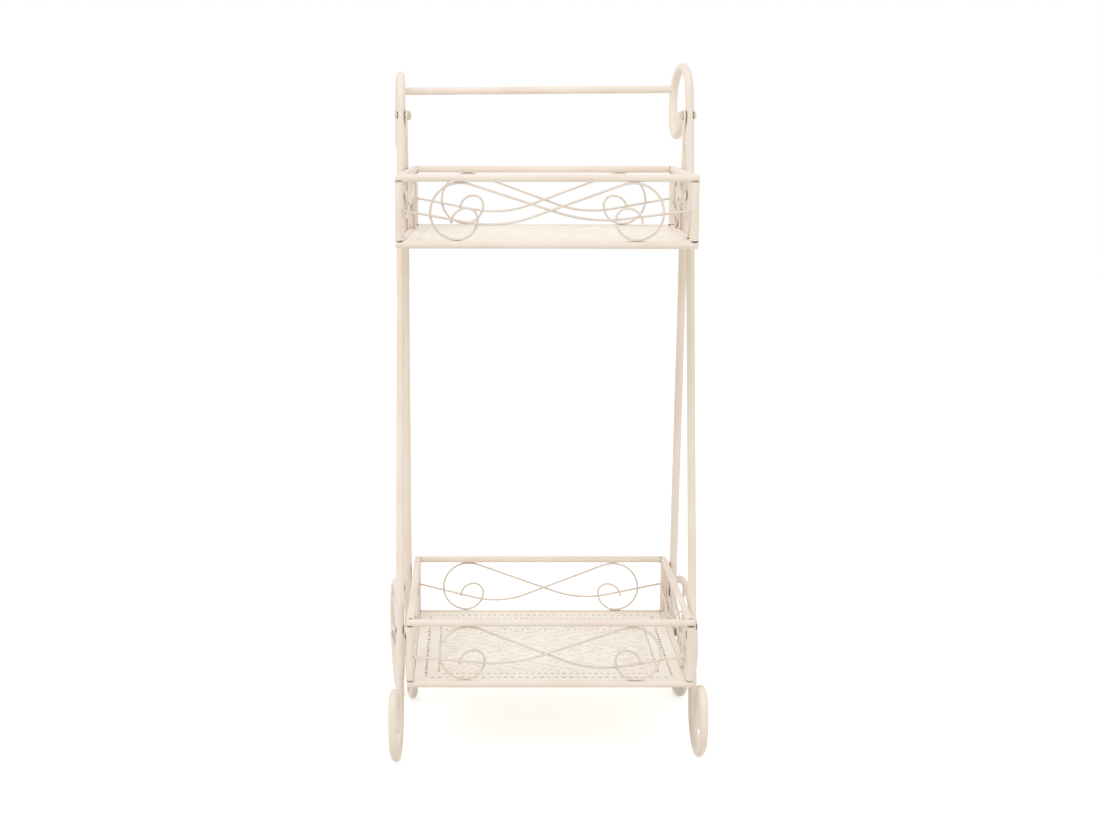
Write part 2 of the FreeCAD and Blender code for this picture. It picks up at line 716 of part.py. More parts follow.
def tray_rails(level):
    """Front rails run the full width, side rails run from them to the back corners, and back
    rails butt between the side rails."""
    across = "sizes.tray_width - 2 * sizes.rail_diameter - 2 * sizes.seat_gap"
    side_length = "sizes.tray_depth - sizes.rail_diameter - sizes.seat_gap"
    side_middle = (size("rail_diameter") + size("seat_gap")) / 2
    for rim, z in (("top", size("rail_spacing")), ("bottom", 0.0)):
        front = tray_bar(level, f"{rim}_front", "sizes.tray_width", X_AXIS, Vector(0, -rail_y(), z))
        back = tray_bar(level, f"{rim}_back", across, X_AXIS, Vector(0, rail_y(), z))
        keep(rounded(f"{level}_{rim}_front_round", front, ("start", "end")), f"{level}_{rim}_front_rail")
        keep(back, f"{level}_{rim}_back_rail")
        pair = []
        for side, way in SIDES.items():
            middle = Vector(way * rail_x(), side_middle, z)
            bar = tray_bar(level, f"{rim}_{side}", side_length, Y_AXIS, middle)
            pair.append(rounded(f"{level}_{rim}_{side}_round", bar, ("end",)))
        keep(compound(f"{level}_{rim}_side_rail_pair", pair), f"{level}_{rim}_side_rails")


def corner_posts(level):
    """Four posts between the top and bottom rails."""
    length = "sizes.rail_spacing - sizes.rail_diameter - 2 * sizes.seat_gap"
    posts = []
    for x_way in (-1, 1):
        for y_way in (-1, 1):
            middle = Vector(x_way * rail_x(), y_way * rail_y(), size("rail_spacing") / 2)
            name = f"post_{'left' if x_way < 0 else 'right'}_{'front' if y_way < 0 else 'back'}"
            posts.append(tray_bar(level, name, length, Z_AXIS, middle))
    keep(compound(f"{level}_post_set", posts), f"{level}_corner_posts")


def punch_row(half_x, half_y, pitch):
    """Centres of a row of punches round a rectangle, evenly spaced from corner to corner."""
    across = max(1, round(2 * half_x / pitch))
    along_side = max(1, round(2 * half_y / pitch))
    points = []
    for step in range(across):
        x = -half_x + 2 * half_x * step / across
        points.append((x, -half_y))
        points.append((-x, half_y))
    for step in range(along_side):
        y = -half_y + 2 * half_y * step / along_side
        points.append((half_x, y))
        points.append((-half_x, -y))
    return points


def floor_panel(level):
    """Sheet inside the bottom rails, with two rows of punched holes along its edges."""
    rail = size("rail_diameter") / 2
    side = math.sqrt(rail ** 2 - (size("floor_rise") - size("floor_thickness") / 2) ** 2) + size("seat_gap")
    half_x = rail_x() - side
    half_y = rail_y() - side
    panel = doc.addObject("Part::Box", f"{level}_floor_sheet")
    bind(panel, Height="sizes.floor_thickness")
    panel.Length = 2 * half_x
    panel.Width = 2 * half_y
    low = size("floor_rise") - size("floor_thickness") / 2
    panel.Placement = tray_frame(level) * Placement(Vector(-half_x, -half_y, low), Rotation())
    margin = size("punch_margin")
    inner = margin + size("punch_row_gap")
    points = punch_row(half_x - margin, half_y - margin, size("punch_pitch"))
    points += punch_row(half_x - inner, half_y - inner, 2 * size("punch_pitch"))
    radius = size("punch_diameter") / 2
    bottom = low - size("floor_thickness")
    tools = [Part.makeCylinder(radius, 3 * size("floor_thickness"), Vector(x, y, bottom)) for x, y in points]
    punches = doc.addObject("Part::Feature", f"{level}_floor_punches")
    punches.Shape = Part.makeCompound(tools)
    punches.Placement = tray_frame(level)
    return keep(cut(f"{level}_floor", panel, punches), f"{level}_floor_panel")


# ---------------------------------------------------------------- scroll wires


def bent_path(start, heading, moves):
    """Wire of straights and tangent arcs in the XY plane: ('run', length) or ('bend', radius, left turn)."""
    edges = []
    point = Vector(start[0], start[1], 0)
    angle = math.radians(heading)
    for move in moves:
        if move[0] == "run":
            end = point + Vector(math.cos(angle), math.sin(angle), 0) * move[1]
            edges.append(Part.LineSegment(point, end).toShape())
        else:
            radius = move[1]
            turn = math.radians(move[2])
            way = 1 if turn > 0 else -1
            centre = point + Vector(-math.sin(angle), math.cos(angle), 0) * (way * radius)
            spoke = point - centre
            middle = centre + Rotation(Z_AXIS, math.degrees(turn) / 2).multVec(spoke)
            end = centre + Rotation(Z_AXIS, math.degrees(turn)).multVec(spoke)
            edges.append(Part.Arc(point, middle, end).toShape())
            angle += turn
        point = end
    return Part.Wire(edges)


def scroll_wire_moves(run, rise, tall, dip):
    """Moves of one wire: down to its dip, up across the middle, and into the curl at the far end.

    The run is the distance along the face from the post to the top of the curl, and the rise
    is the height of the curl's top above the dip.
    """
    down = math.atan2(dip, LEAD_SHARE * run)
    up = math.atan2(rise, CLIMB_SHARE * run)
    crown = size("curl_crown_radius")
    left_over = run * (1 - LEAD_SHARE - CLIMB_SHARE) - crown * math.tan(up / 2)
    sweep = left_over / (math.tan(down / 2) + math.tan(up / 2))
    lead = (dip - sweep * (1 - math.cos(down))) / math.sin(down)
    climb = (rise - (sweep + crown) * (1 - math.cos(up))) / math.sin(up)
    lower = size("curl_lower_radius")
    return math.degrees(down), [
        ("run", lead),
        ("bend", sweep, math.degrees(down + up)),
        ("run", climb),
        ("bend", crown, -math.degrees(up)),
        ("bend", tall - lower, -90),
        ("bend", lower, -90),
        ("bend", size("curl_inner_radius"), -90),
        ("bend", size("curl_eye_radius"), -90),
        ("bend", size("curl_tail_radius"), -90),
    ]


def scroll_wire(name, span, curl_inset, depth, start, dip, mirrored):
    """One scroll wire in a face's own frame: X along the face, Y up from mid height, Z outwards."""
    touch = (size("rail_diameter") + size("wire_diameter")) / 2 + size("seat_gap")
    tall = size("rail_spacing") - 2 * math.sqrt(touch ** 2 - depth ** 2)
    down, moves = scroll_wire_moves(2 * span - curl_inset, tall / 2 - start + dip, tall, dip)
    path = bent_path((-span, start), -down, moves)
    radius = size("wire_diameter") / 2
    first = path.Edges[0]
    heading = first.tangentAt(first.FirstParameter)
    section = Part.Wire([Part.Circle(Vector(-span, start, 0), heading, radius).toShape()])
    solid = path.makePipeShell([section], True, False)
    expected = math.pi * radius ** 2 * path.Length
    if abs(solid.Volume - expected) > 0.01 * expected:
        raise RuntimeError(f"{name}: volume {solid.Volume:.1f}, expected {expected:.1f}")
    if mirrored:
        solid = solid.mirror(Vector(), X_AXIS)
    solid.translate(Vector(0, 0, depth))
    return solid


def face_place(face):
    """Placement of a tray face: X along it, Y up from mid height, Z outwards."""
    way, angle = {"front": (-1, 0), "back": (1, 180), "left": (-1, -90), "right": (1, 90)}[face]
    if face in ("front", "back"):
        middle = Vector(0, way * rail_y(), size("rail_spacing") / 2)
    else:
        middle = Vector(way * rail_x(), 0, size("rail_spacing") / 2)
    return Placement(middle, Rotation(Z_AXIS, angle) * Rotation(X_AXIS, 90))


def scroll_wires(level, face):
    """The two wires of one tray face, one behind the other, so that they pass at the crossing."""
    to_post = size("rail_diameter") / 2 + size("seat_gap")
    pitch = size("wire_diameter") + size("seat_gap")
    if face in ("front", "back"):
        span = rail_x() - to_post
        inset = size("front_curl_inset")
        start = size(f"{level}_{face}_start")
        depths = (pitch / 2, -pitch / 2)
        dips = (size(f"{level}_{face}_left_dip"), size(f"{level}_{face}_right_dip"))
    else:
        span = rail_y() - to_post
        inset = size("side_curl_inset")
        start = size("side_start")
        depths = (0.0, -pitch)
        dips = (size("side_dip"), size("side_dip"))
    if face == "back":
        dips = dips[::-1]
    name = f"{level}_{face}"
    wires = [
        scroll_wire(name, span, inset, depths[0], start, dips[0], False),
        scroll_wire(name, span, inset, depths[1], start, dips[1], True),
    ]
    feature = doc.addObject("Part::Feature", name + "_wires")
    feature.Shape = Part.makeCompound(wires)
    feature.Placement = tray_frame(level) * face_place(face)
    return keep(feature, name + "_scrolls")


# ---------------------------------------------------------------- tray mountings


def flat_point(level, side, kind):
    """Where a leg's bolt passes the middle of its flat, in tray coordinates."""
    x = SIDES[side] * (rail_x() + size("flat_offset"))
    angle = math.radians(tray_angle(level))
    across = leg_y(kind, side, mounting_height(level)) - tray_frame(level).Base.y
    y = (across - x * math.sin(angle)) / math.cos(angle)
    return Vector(x, y, size("mounting_rise"))


def upright_flat(level, side, kind):
    """Flat bar between the side rails, with a hole for the tray bolt."""
    name = f"{level}_{side}_{kind}_flat"
    point = flat_point(level, side, kind)
    thick = size("flat_thickness")
    inner = size("flat_offset") - thick / 2
    end = math.sqrt((size("rail_diameter") / 2) ** 2 - inner ** 2) + size("seat_gap")
    bar = doc.addObject("Part::Box", name + "_bar")
    bind(bar, Length="sizes.flat_thickness", Width="sizes.flat_width")
    bar.Height = size("rail_spacing") - 2 * end
    corner = Vector(point.x - thick / 2, point.y - size("flat_width") / 2, end)
    bar.Placement = tray_frame(level) * Placement(corner, Rotation())
    start = tray_frame(level).multVec(point) - X_AXIS * size("flat_width")
    hole = cylinder(name + "_hole", "sizes.tray_bolt_diameter + 2 * sizes.bolt_hole_gap",
                    "2 * sizes.flat_width", along(X_AXIS, start))
    return cut(name, bar, hole)


def mounting(level, side, kind):
    """Lug between a flat and its leg, and the bolt from outside through the leg into the lug."""
    name = f"{level}_{side}_{kind}"
    height = mounting_height(level)
    y = leg_y(kind, side, height)
    flat = SIDES[side] * tray_frame(level).multVec(flat_point(level, side, kind)).x
    leg_in = SIDES[side] * leg_x(kind, side) - size("leg_diameter") / 2
    lug_in = flat + size("flat_thickness") / 2 + 2 * size("seat_gap")
    length = leg_in - size("seat_gap") - lug_in
    foot = along(outward(side), Vector(SIDES[side] * lug_in, y, height))
    thread = "sizes.tray_bolt_diameter + 2 * sizes.thread_gap"
    lug = ring(name + "_lug", "sizes.lug_diameter", thread, f"{length}", foot)
    head_under = leg_in + size("leg_diameter") + size("seat_gap")
    reach = head_under - flat + size("flat_thickness") / 2
    head = along(outward(side), Vector(SIDES[side] * head_under, y, height))
    return lug, bolt(name + "_bolt", "tray", reach, head)


def tray_mountings(level):
    """Flats, lugs and bolts that hold one tray to its four legs."""
    flats = []
    lugs = []
    bolts = []
    for side in SIDES:
        for kind in ("front", "rear"):
            flats.append(upright_flat(level, side, kind))
            lug, screw = mounting(level, side, kind)
            lugs.append(lug)
            bolts.append(screw)
    keep(compound(f"{level}_flat_set", flats), f"{level}_mounting_flats")
    keep(compound(f"{level}_lug_set", lugs), f"{level}_mounting_lugs")
    keep(compound(f"{level}_bolt_set", bolts), f"{level}_tray_bolts")


def tray(level):
    tray_rails(level)
    corner_posts(level)
    floor_panel(level)
    for face in ("front", "back", "left", "right"):
        scroll_wires(level, face)
    tray_mountings(level)


# ---------------------------------------------------------------- wheels


def axle_frame(side):
    """Placement on a rear leg's centre line at axle height, with X along the axle, outwards."""
    return leg_frame("rear", side) * Placement(Vector(0, 0, axle_place(side)), Rotation()) * rear_spin(side)


def axle_stations():
    """Distances out from the leg's centre line to the start of each piece on the axle."""
    gap = size("seat_gap")
    spacer = size("leg_diameter") / 2 + gap
    washer_in = spacer + size("axle_spacer_length") + gap
    hub = washer_in + size("washer_thickness") + size("free_gap")
    washer_out = hub + size("hub_width") + size("free_gap")
    head = washer_out + size("washer_thickness") + gap
    return {"spacer": spacer, "washer_in": washer_in, "hub": hub, "washer_out": washer_out, "head": head}


def on_axle(side, distance, inward=False):
    """Placement at a distance out along the axle, with Z along the axle."""
    turn = -90 if inward else 90
    return axle_frame(side) * Placement(Vector(distance, 0, 0), Rotation(Y_AXIS, turn))


def wheel_middle():
    return axle_stations()["hub"] + size("hub_width") / 2


def revolved(body, name, sketch):
    turn = body.newObject("PartDesign::Revolution", name)
    turn.Profile = sketch
    turn.ReferenceAxis = (sketch, ["H_Axis"])
    turn.Angle = 360
    return turn


def wheel_rim(side):
    """Round-section ring."""
    body = doc.addObject("PartDesign::Body", f"{side}_rim_body")
    sketch = sketch_on(body, "XZ_Plane", f"{side}_rim_section")
    centre = size("wheel_diameter") / 2 - size("rim_diameter") / 2
    sketch.addGeometry(Part.Circle(Vector(0, centre, 0), Z_AXIS, size("rim_diameter") / 2), False)
    sketch.addConstraint(rule("PointOnObject", 0, 3, -2))
    named(sketch, "ring_radius", "sizes.wheel_diameter / 2 - sizes.rim_diameter / 2",
          "DistanceY", -1, 1, 0, 3, centre)
    named(sketch, "section", "sizes.rim_diameter / 2", "Radius", 0, size("rim_diameter") / 2)
    revolved(body, f"{side}_rim_ring", sketch)
    body.Placement = axle_frame(side) * Placement(Vector(wheel_middle(), 0, 0), Rotation())
    return keep(body, f"{side}_wheel_rim")


def wheel_hub(side):
    """Spool: two flanges and a waist on a plain bore."""
    body = doc.addObject("PartDesign::Body", f"{side}_hub_body")
    sketch = sketch_on(body, "XZ_Plane", f"{side}_hub_section")
    width = size("hub_width")
    flange = size("hub_flange_width")
    bore = size("axle_bolt_diameter") / 2 + size("axle_running_gap")
    high = size("hub_flange_diameter") / 2
    waist = size("hub_waist_diameter") / 2
    xs = [0, 0, flange, flange, width - flange, width - flange, width, width]
    ys = [bore, high, high, waist, waist, high, high, bore]
    for count in range(8):
        following = (count + 1) % 8
        start = Vector(xs[count], ys[count], 0)
        end = Vector(xs[following], ys[following], 0)
        sketch.addGeometry(Part.LineSegment(start, end), False)
    for count in range(8):
        sketch.addConstraint(rule("Coincident", count, 2, (count + 1) % 8, 1))
        sketch.addConstraint(rule("Vertical" if count % 2 == 0 else "Horizontal", count))
    sketch.addConstraint(rule("PointOnObject", 0, 1, -2))
    sketch.addConstraint(rule("Horizontal", 1, 1, 5, 1))
    named(sketch, "bore", "sizes.axle_bolt_diameter / 2 + sizes.axle_running_gap",
          "DistanceY", -1, 1, 0, 1, bore)
    named(sketch, "flange_radius", "sizes.hub_flange_diameter / 2", "DistanceY", -1, 1, 1, 1, high)
    named(sketch, "waist_radius", "sizes.hub_waist_diameter / 2", "DistanceY", -1, 1, 3, 1, waist)
    named(sketch, "near_flange", "sizes.hub_flange_width", "DistanceX", 1, 1, 1, 2, flange)
    named(sketch, "far_flange", "sizes.hub_flange_width", "DistanceX", 5, 1, 5, 2, flange)
    named(sketch, "width", "sizes.hub_width", "DistanceX", 0, 1, 7, 1, width)
    revolved(body, f"{side}_hub_spool", sketch)
    body.Placement = axle_frame(side) * Placement(Vector(axle_stations()["hub"], 0, 0), Rotation())
    return keep(body, f"{side}_wheel_hub")


def wheel_spokes(side):
    """Straight wire spokes from the hub's waist to the rim."""
    inner = "sizes.hub_waist_diameter / 2 + sizes.seat_gap"
    start = size("hub_waist_diameter") / 2 + size("seat_gap")
    length = f"sizes.wheel_diameter / 2 - sizes.rim_diameter - sizes.seat_gap - ({inner})"
    count = int(size("spoke_count"))
    middle = axle_frame(side) * Placement(Vector(wheel_middle(), 0, 0), Rotation())
    spokes = []
    for number in range(count):
        spin = Placement(Vector(), Rotation(X_AXIS, 360.0 * number / count))
        place = middle * spin * Placement(Vector(0, 0, start), Rotation())
        spokes.append(cylinder(f"{side}_spoke_{number}", "sizes.spoke_diameter", length, place))
    return keep(compound(f"{side}_spoke_set", spokes), f"{side}_wheel_spokes")


def axle_fasteners():
    """Axle bolts from outside through washer, hub, washer, spacer and leg, with a nut inside."""
    at = axle_stations()
    nut_start = size("leg_diameter") / 2 + size("seat_gap")
    reach = at["head"] + nut_start + size("nut_height") + size("bolt_tip")
    clear = "sizes.axle_bolt_diameter + 2 * sizes.bolt_hole_gap"
    bolts = []
    spacers = []
    washers = []
    nuts = []
    for side in SIDES:
        bolts.append(bolt(f"{side}_axle", "axle", reach, on_axle(side, at["head"])))
        spacers.append(ring(f"{side}_axle_spacer", "sizes.axle_spacer_diameter", clear,
                            "sizes.axle_spacer_length", on_axle(side, at["spacer"])))
        for place in ("washer_in", "washer_out"):
            washers.append(ring(f"{side}_{place}", "sizes.washer_diameter", clear,
                                "sizes.washer_thickness", on_axle(side, at[place])))
        nuts.append(nut(f"{side}_axle_nut", "axle", on_axle(side, -nut_start, True)))
    keep(compound("axle_bolt_pair", bolts), "axle_bolts")
    keep(compound("axle_spacer_pair", spacers), "axle_spacers")
    keep(compound("axle_washer_set", washers), "axle_washers")
    keep(compound("axle_nut_pair", nuts), "axle_nuts")


# ---------------------------------------------------------------- the whole cart

for cart_side in SIDES:
    front_leg(cart_side)
    rear_leg(cart_side)
    wheel_rim(cart_side)
    wheel_spokes(cart_side)
    wheel_hub(cart_side)
tube_plugs()
handle_bar()
apex_fasteners()
for tray_level in LEVELS:
    tray(tray_level)
axle_fasteners()
doc.recompute()

for thing in doc.Objects:
    if "Invalid" in thing.State or "Error" in thing.State:
        raise RuntimeError(f"{thing.Name} ({thing.Label}) failed: {thing.State}")
for node in nodes:
    if node.Shape.isNull() or not node.Shape.isValid() or not node.Shape.Solids:
        raise RuntimeError(f"{node.Label} has no valid solid")

os.makedirs("parts", exist_ok=True)
for node in nodes:
    node.Shape.exportStep(f"parts/{node.Label}.step")

print(f"{len(nodes)} sub-parts")
for tray_level in LEVELS:
    spot = tray_frame(tray_level).Base
    print(f"{tray_level} tray middle {spot.x:.3f} {spot.y:.3f} {spot.z:.3f}")
for cart_side in SIDES:
    hub = axle_frame(cart_side) * Placement(Vector(wheel_middle(), 0, 0), Rotation())
    axis = hub.Rotation.multVec(X_AXIS)
    print(f"{cart_side} wheel centre {hub.Base.x:.3f} {hub.Base.y:.3f} {hub.Base.z:.3f}, "
          f"axis {axis.x:.5f} {axis.y:.5f} {axis.z:.5f}")
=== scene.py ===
"""Flower cart stand: looks for the two-tier steel cart, in cream powder coat."""

import json
import math

import bpy
import numpy as np
from mathutils import Matrix, Vector


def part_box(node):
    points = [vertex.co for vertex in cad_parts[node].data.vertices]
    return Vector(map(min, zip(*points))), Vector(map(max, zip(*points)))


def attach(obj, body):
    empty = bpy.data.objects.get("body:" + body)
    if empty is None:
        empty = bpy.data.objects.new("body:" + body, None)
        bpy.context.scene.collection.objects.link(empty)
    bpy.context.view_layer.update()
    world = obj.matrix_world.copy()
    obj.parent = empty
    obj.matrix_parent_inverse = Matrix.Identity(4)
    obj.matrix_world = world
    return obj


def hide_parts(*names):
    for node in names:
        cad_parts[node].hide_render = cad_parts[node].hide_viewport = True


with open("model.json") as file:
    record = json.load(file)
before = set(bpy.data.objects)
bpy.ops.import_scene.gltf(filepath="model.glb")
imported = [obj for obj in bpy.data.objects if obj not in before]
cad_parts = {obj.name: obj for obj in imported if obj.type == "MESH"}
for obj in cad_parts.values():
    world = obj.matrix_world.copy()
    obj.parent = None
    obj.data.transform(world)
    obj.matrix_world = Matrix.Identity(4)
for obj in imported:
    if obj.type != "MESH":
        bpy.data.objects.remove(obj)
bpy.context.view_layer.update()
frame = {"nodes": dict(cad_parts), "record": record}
scene = bpy.context.scene
MM = 0.001


# ---------------------------------------------------------------- camera
# Stands 2.26 m in front, a little left of the cart and just under its handle, looking down.

CAMERA_PLACE = Vector((-93.5, -2264.0, 798.5)) * MM
CAMERA_DOWN = 9.12          # degrees below the horizon
LENS = 57.86
SENSOR = 36.0
SHIFT_RIGHT = 0.0697        # shares of the frame's width
SHIFT_UP = -0.0155

camera_data = bpy.data.cameras.new("camera")
camera_data.lens = LENS
camera_data.sensor_width = SENSOR
camera_data.shift_x = SHIFT_RIGHT
camera_data.shift_y = SHIFT_UP
camera_data.clip_end = 50.0
camera = bpy.data.objects.new("camera", camera_data)
camera.location = CAMERA_PLACE
camera.rotation_euler = (math.radians(90.0 - CAMERA_DOWN), 0.0, 0.0)
scene.collection.objects.link(camera)
scene.camera = camera


# ---------------------------------------------------------------- shader building


def colour(code):
    """Linear colour from an sRGB hex code."""
    parts = [int(code[i:i + 2], 16) / 255 for i in (1, 3, 5)]
    return [p / 12.92 if p <= 0.04045 else ((p + 0.055) / 1.055) ** 2.4 for p in parts] + [1.0]


def add(tree, kind, values=None, links=None, **settings):
    """Adds a shader node, sets its options and inputs, and joins inputs to other nodes' outputs."""
    node = tree.nodes.new(kind)
    for name, value in settings.items():
        setattr(node, name, value)
    for name, value in (values or {}).items():
        node.inputs[name].default_value = value
    for name, output in (links or {}).items():
        tree.links.new(output, node.inputs[name])
    return node


def new_material(name):
    """An empty material with its object coordinates: material, tree, coordinates."""
    material = bpy.data.materials.new(name)
    material.use_nodes = True
    tree = material.node_tree
    tree.nodes.clear()
    place = add(tree, "ShaderNodeTexCoord").outputs["Object"]
    return material, tree, place


def noise(tree, place, grain_mm, detail=2.0):
    """Cloudy pattern whose blotches are about this many millimetres."""
    values = {"Scale": 1.0 / (grain_mm * MM), "Detail": detail, "Roughness": 0.55}
    return add(tree, "ShaderNodeTexNoise", values, {"Vector": place}).outputs["Fac"]


def spread(tree, source, low, high, to_low=0.0, to_high=1.0):
    """Stretches part of a pattern's range onto another range."""
    values = {"From Min": low, "From Max": high, "To Min": to_low, "To Max": to_high}
    return add(tree, "ShaderNodeMapRange", values, {"Value": source}).outputs["Result"]


def blend(tree, amount, first, second):
    """Mix of two colours by a pattern. Each colour is a list or a node's output."""
    mix = add(tree, "ShaderNodeMix", {}, {"Factor": amount}, data_type="RGBA")
    for slot, source in (("A", first), ("B", second)):
        socket = [s for s in mix.inputs if s.name == slot and s.type == "RGBA"][0]
        if isinstance(source, list):
            socket.default_value = source
        else:
            tree.links.new(source, socket)
    return [s for s in mix.outputs if s.type == "RGBA"][0]


def bump(tree, pattern, depth_mm, strength, under=None):
    """Relief this many millimetres deep, over another relief if one is given."""
    links = {"Height": pattern}
    if under is not None:
        links["Normal"] = under
    values = {"Strength": strength, "Distance": depth_mm * MM}
    return add(tree, "ShaderNodeBump", values, links).outputs["Normal"]


def crevice_shade(tree, reach_mm):
    """1 in the open and falling to 0 where another surface is within reach: the mask for painted shade.
    """
    return add(tree, "ShaderNodeAmbientOcclusion", {"Distance": reach_mm * MM}, samples=8).outputs["AO"]


def finish_material(material, tree, values, links):
    """Principled surface on the material's output."""
    surface = add(tree, "ShaderNodeBsdfPrincipled", values, links)
    add(tree, "ShaderNodeOutputMaterial", None, {"Surface": surface.outputs["BSDF"]})
    return material


# ---------------------------------------------------------------- powder-coated steel
# Bent and welded steel, sprayed with cream powder and baked. The coat has a fine orange peel,
# thins to a warmer tone in places and carries specks of dust; its corners carry painted shade.

DRIFT_MM = 70.0             # patches of the warmer tone
SPECK_MM = 2.2              # specks of dust
DENT_MM = 26.0              # shallow unevenness of the bent steel
SHEEN_MM = 9.0              # duller and shinier patches


def powder_coat(name, main, warm, dust_and_shade, peel_mm=1.4, gloss=0.42, shade_reach=5.0, shade_in_grooves=False):
    """Coat in two near tones, flecked with dust and darkened as painted shade in corners; the groove
    option adds painted shade where the piece's attribute marks.
    """
    material, tree, place = new_material(name)
    drift = spread(tree, noise(tree, place, DRIFT_MM), 0.35, 0.68)
    tone = blend(tree, drift, colour(main), colour(warm))
    speck = spread(tree, noise(tree, place, SPECK_MM, 3.0), 0.66, 0.76, 0.0, 0.25)
    tone = blend(tree, speck, tone, colour(dust_and_shade))
    # Painted shade: the tone darkens to the dark colour where another surface is near, in corners and
    # between parts.
    unshaded = spread(tree, crevice_shade(tree, shade_reach), 0.28, 0.72)
    tone = blend(tree, unshaded, colour(dust_and_shade), tone)
    if shade_in_grooves:
        # Painted shade in the pressed dashes: the deeper a point is pressed, the more of the dark
        # colour.
        depth = add(tree, "ShaderNodeAttribute", attribute_name="groove").outputs["Fac"]
        tone = blend(tree, spread(tree, depth, 0.25, 0.9, 0.0, 0.62), tone, colour(dust_and_shade))
    relief = bump(tree, noise(tree, place, DENT_MM), 0.30, 0.35)
    relief = bump(tree, noise(tree, place, peel_mm), 0.05, 0.5, relief)
    shine = spread(tree, noise(tree, place, SHEEN_MM), 0.3, 0.7, gloss - 0.05, gloss + 0.07)
    links = {"Base Color": tone, "Normal": relief, "Roughness": shine}
    return finish_material(material, tree, {"IOR": 1.5, "Specular IOR Level": 0.45}, links)


tube_coat = powder_coat("cream_powder_coat_on_bent_tube", "#F2E8DE", "#EDDFD2", "#B79C80")
# The wire's tones are darker than the tubes' as painted shade on the thin wires.
wire_coat = powder_coat("cream_powder_coat_on_bent_wire", "#E9DFD5", "#DED2C6", "#A8937F",
                        peel_mm=1.0, gloss=0.4, shade_reach=1.4)
# The sheet's tones are paler than the tubes' as painted light on its upward faces.
sheet_coat = powder_coat("cream_powder_coat_on_punched_sheet", "#FAF5EC", "#F7EFE4", "#A88E6E",
                         peel_mm=1.2, gloss=0.45, shade_reach=2.2, shade_in_grooves=True)
cast_coat = powder_coat("cream_powder_coat_on_turned_hub", "#EDE2D6", "#E2D3C2", "#9C8266")


# ---------------------------------------------------------------- zinc-plated fasteners
# Pressed and turned steel bolts, nuts, washers and spacers. Their plating is dulled and dusted
# with cream overspray, so they look pale and only half metallic.


def zinc_plating():
    material, tree, place = new_material("zinc_plating_on_turned_fasteners")
    patch = spread(tree, noise(tree, place, 3.0, 4.0), 0.3, 0.7)
    tone = blend(tree, patch, colour("#ECE6DA"), colour("#CFC7B8"))
    # Painted shade: the plating darkens to dark brown where another surface is near.
    unshaded = spread(tree, crevice_shade(tree, 2.0), 0.2, 0.7)
    tone = blend(tree, unshaded, colour("#6B5D4C"), tone)
    shine = spread(tree, patch, 0.0, 1.0, 0.32, 0.5)
    relief = bump(tree, noise(tree, place, 0.6), 0.02, 0.5)
    links = {"Base Color": tone, "Roughness": shine, "Normal": relief}
    return finish_material(material, tree, {"Metallic": 0.45}, links)


# ---------------------------------------------------------------- tube plugs
# Ivory moulded plastic plugs pressed into the cut ends of the scrolls, with a matt face.


def moulded_plastic():
    material, tree, place = new_material("ivory_moulded_plug_plastic")
    patch = spread(tree, noise(tree, place, 4.0), 0.3, 0.7)
    tone = blend(tree, patch, colour("#DCCFBB"), colour("#CDBCA4"))
    relief = bump(tree, noise(tree, place, 0.5), 0.02, 0.6)
    return finish_material(material, tree, {"Roughness": 0.55}, {"Base Color": tone, "Normal": relief})


SLOT_MATERIALS = {
    "cream_tube": tube_coat,
    "cream_sheet": sheet_coat,
    "cream_wire": wire_coat,
    "cream_hub": cast_coat,
    "zinc_steel": zinc_plating(),
    "plug_plastic": moulded_plastic(),
}
slot_of = {part["node"]: part["material_slot"] for part in frame["record"]["subparts"]}
for node_name, node_object in frame["nodes"].items():
    node_object.data.materials.clear()
    node_object.data.materials.append(SLOT_MATERIALS[slot_of[node_name]])
    for face in node_object.data.polygons:
        face.use_smooth = True


# ---------------------------------------------------------------- trays' places
# Each tray's middle and turn, from its floor panel. The upper tray sits a little askew.

UPPER_TURN = math.radians(-1.5)
lower_low, lower_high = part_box("lower_floor_panel")
upper_low, upper_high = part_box("upper_floor_panel")
SHEET_HALF_X = (lower_high.x - lower_low.x) / 2
SHEET_HALF_Y = (lower_high.y - lower_low.y) / 2
SHEET_THICK = lower_high.z - lower_low.z


def tray_matrix(low, high, turn):
    """Frame of a tray: origin at the middle of its floor's top face."""
    middle = (low + high) / 2
    middle.z = high.z
    return Matrix.Translation(middle) @ Matrix.Rotation(turn, 4, "Z")


TRAYS = {
    "lower": tray_matrix(lower_low, lower_high, 0.0),
    "upper": tray_matrix(upper_low, upper_high, UPPER_TURN),
}


# ---------------------------------------------------------------- mesh building


def mesh_object(name, points, faces, material, matrix=Matrix()):
    """Smooth mesh object at the origin from points in metres and lists of corner numbers."""
    points = np.asarray(points, float).reshape(-1, 3)
    spin = np.array(matrix.to_3x3())
    moved = points @ spin.T + np.array(matrix.translation)
    mesh = bpy.data.meshes.new(name)
    mesh.from_pydata(moved.tolist(), [], [list(map(int, face)) for face in faces])
    mesh.polygons.foreach_set("use_smooth", [True] * len(mesh.polygons))
    mesh.materials.append(material)
    mesh.update()
    made = bpy.data.objects.new(name, mesh)
    scene.collection.objects.link(made)
    return made


def join(patches):
    """One list of points and faces from many."""
    points = []
    faces = []
    start = 0
    for patch_points, patch_faces in patches:
        points.append(patch_points)
        faces.append(np.asarray(patch_faces) + start)
        start += len(patch_points)
    return np.concatenate(points), np.concatenate(faces)


def grid_faces(rows, columns):
    """Quads of a grid of points, row by row."""
    row, column = np.meshgrid(np.arange(rows - 1), np.arange(columns - 1), indexing="ij")
    corner = (row * columns + column).ravel()
    return np.stack([corner, corner + 1, corner + columns + 1, corner + columns], axis=1)


# ---------------------------------------------------------------- punched and embossed tray floors
# Thin sheet steel, pressed with rows of dashes in the middle and punched with rings of drawn-in
# holes along its edges, welded to the bottom rails and coated with the tray.

